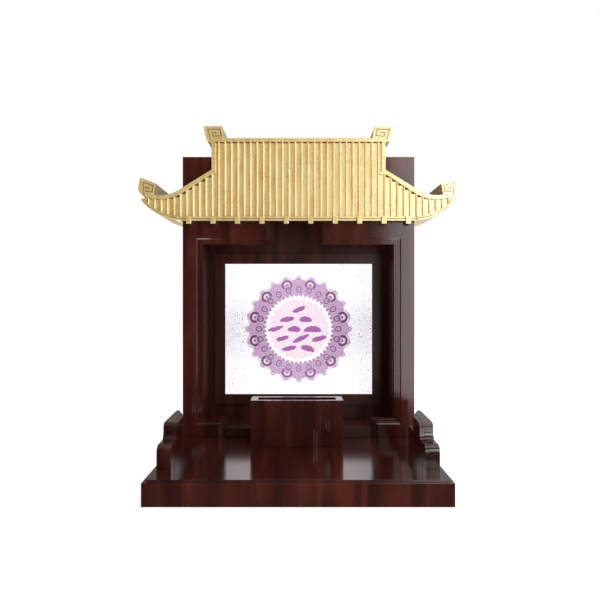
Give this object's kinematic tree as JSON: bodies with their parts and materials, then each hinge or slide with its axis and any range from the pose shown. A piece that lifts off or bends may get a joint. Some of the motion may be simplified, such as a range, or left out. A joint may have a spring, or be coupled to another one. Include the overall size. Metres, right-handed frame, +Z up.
{
  "type": "household altar cabinet",
  "caption": "Dark lacquered wooden niche cabinet on a broad base with side rails, an open incense box, a framed picture panel and a gilded ribbed hood roof with upturned horns.",
  "frame": {"origin": "middle of the bounding box's underside, on the surface that the base stands on", "axes": "+X to the right as seen from the front, +Y from the front to the back, +Z up"},
  "size_m": [0.6364, 0.407, 0.6612],
  "materials": {
    "dark_lacquer": "dark mahogany stain under glossy clear lacquer",
    "gilded_wood": "pale gold leaf finish over carved wood, lightly mottled",
    "printed_glass": "white glass panel printed on the back in mauve"
  },
  "bodies": {
    "root": {"base": "dark_lacquer", "side_rail_left": "dark_lacquer", "side_rail_right": "dark_lacquer", "incense_box": "dark_lacquer", "cabinet_side_left": "dark_lacquer", "cabinet_side_right": "dark_lacquer", "cabinet_top": "dark_lacquer", "cabinet_back": "dark_lacquer", "face_frame": "dark_lacquer", "plinth_block_left": "dark_lacquer", "plinth_block_right": "dark_lacquer", "niche_floor": "dark_lacquer", "picture_frame": "dark_lacquer", "picture_panel": "printed_glass", "tile_field": "gilded_wood", "ridge_beam": "gilded_wood", "hip_ridge_left": "gilded_wood", "hip_ridge_right": "gilded_wood", "eave_board": "gilded_wood", "rafter_end_01": "gilded_wood", "rafter_end_02": "gilded_wood", "rafter_end_03": "gilded_wood", "rafter_end_04": "gilded_wood", "rafter_end_05": "gilded_wood", "rafter_end_06": "gilded_wood", "rafter_end_07": "gilded_wood", "rafter_end_08": "gilded_wood", "rafter_end_09": "gilded_wood", "rafter_end_10": "gilded_wood"}
  },
  "joints": []
}
